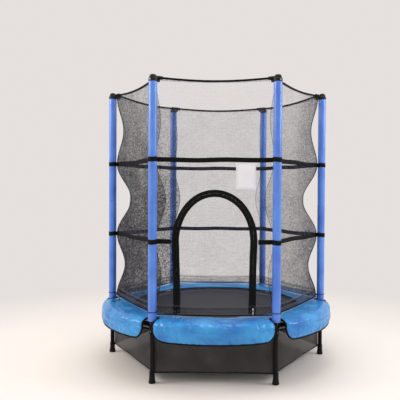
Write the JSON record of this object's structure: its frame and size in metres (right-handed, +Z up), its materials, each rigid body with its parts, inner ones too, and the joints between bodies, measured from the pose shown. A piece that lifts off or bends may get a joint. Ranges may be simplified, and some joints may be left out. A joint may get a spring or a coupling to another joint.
{
  "type": "children's trampoline with safety enclosure",
  "caption": "Round children's trampoline on straight legs, with a padded cover over its ring, a hanging skirt, padded upright poles and a net enclosure with an arched zip door.",
  "frame": {"origin": "on the floor, under the middle of the jumping mat", "axes": "+Z up, -Y out through the door, +X to the right of someone facing the door from outside"},
  "size_m": [1.3956, 1.4, 1.62],
  "materials": {
    "black_steel": "satin",
    "bare_steel": "galvanised",
    "foot_rubber": "matt",
    "black_plastic": "satin",
    "blue_foam": "soft matt",
    "blue_vinyl": "soft sheen",
    "mat_fabric": "woven",
    "skirt_mesh": "fine mesh",
    "net_mesh": "open mesh",
    "black_webbing": "woven",
    "elastic": "braided",
    "zip_metal": "polished"
  },
  "bodies": {
    "frame": {"leg_right": "black_steel", "foot_cap_right": "foot_rubber", "pole_lower_right": "bare_steel", "pole_upper_right": "bare_steel", "foam_sleeve_right": "blue_foam", "pole_cap_right": "black_plastic", "leg_back_right": "black_steel", "foot_cap_back_right": "foot_rubber", "pole_lower_back_right": "bare_steel", "pole_upper_back_right": "bare_steel", "foam_sleeve_back_right": "blue_foam", "pole_cap_back_right": "black_plastic", "leg_back_left": "black_steel", "foot_cap_back_left": "foot_rubber", "pole_lower_back_left": "bare_steel", "pole_upper_back_left": "bare_steel", "foam_sleeve_back_left": "blue_foam", "pole_cap_back_left": "black_plastic", "leg_left": "black_steel", "foot_cap_left": "foot_rubber", "pole_lower_left": "bare_steel", "pole_upper_left": "bare_steel", "foam_sleeve_left": "blue_foam", "pole_cap_left": "black_plastic", "leg_front_left": "black_steel", "foot_cap_front_left": "foot_rubber", "pole_lower_front_left": "bare_steel", "pole_upper_front_left": "bare_steel", "foam_sleeve_front_left": "blue_foam", "pole_cap_front_left": "black_plastic", "leg_front_right": "black_steel", "foot_cap_front_right": "foot_rubber", "pole_lower_front_right": "bare_steel", "pole_upper_front_right": "bare_steel", "foam_sleeve_front_right": "blue_foam", "pole_cap_front_right": "black_plastic", "ring_segment_right_rear": "black_steel", "net_panel_right_rear": "net_mesh", "ring_segment_rear": "black_steel", "net_panel_rear": "net_mesh", "ring_segment_left_rear": "black_steel", "net_panel_left_rear": "net_mesh", "ring_segment_left_front": "black_steel", "net_panel_left_front": "net_mesh", "ring_segment_front": "black_steel", "net_panel_front": "net_mesh", "ring_segment_right_front": "black_steel", "net_panel_right_front": "net_mesh", "elastic_cord": "elastic", "frame_pad": "blue_vinyl", "skirt": "skirt_mesh", "top_rope": "black_webbing", "bottom_hem": "black_webbing", "upper_strap": "black_webbing", "lower_strap": "black_webbing", "door_tape": "black_webbing"},
    "mat": {"jumping_mat": "mat_fabric"},
    "door": {"door_flap": "net_mesh"},
    "slider": {"zip_slider": "zip_metal"},
    "pull": {"zip_pull": "zip_metal"}
  },
  "joints": [
    {"name": "mat_bounce", "type": "slide", "parent": "frame", "child": "mat", "axis": [0, 0, 1], "range_m": [-0.15, 0], "stiffness_N_per_m": 5000, "deforming": ["elastic_cord"]},
    {"name": "door_fold", "type": "hinge", "parent": "frame", "child": "door", "pos_m": [0, -0.536, 0.364], "axis": [-1, 0, 0], "range_deg": [0, 90]},
    {"name": "zip_slide", "type": "slide", "parent": "frame", "child": "slider", "axis": [0, 0, 1], "range_m": [0, 0.33]},
    {"name": "zip_pull_swing", "type": "hinge", "parent": "slider", "child": "pull", "pos_m": [0.2045, -0.5464, 0.3851], "axis": [-1, 0, 0], "range_deg": [0, 110]}
  ]
}
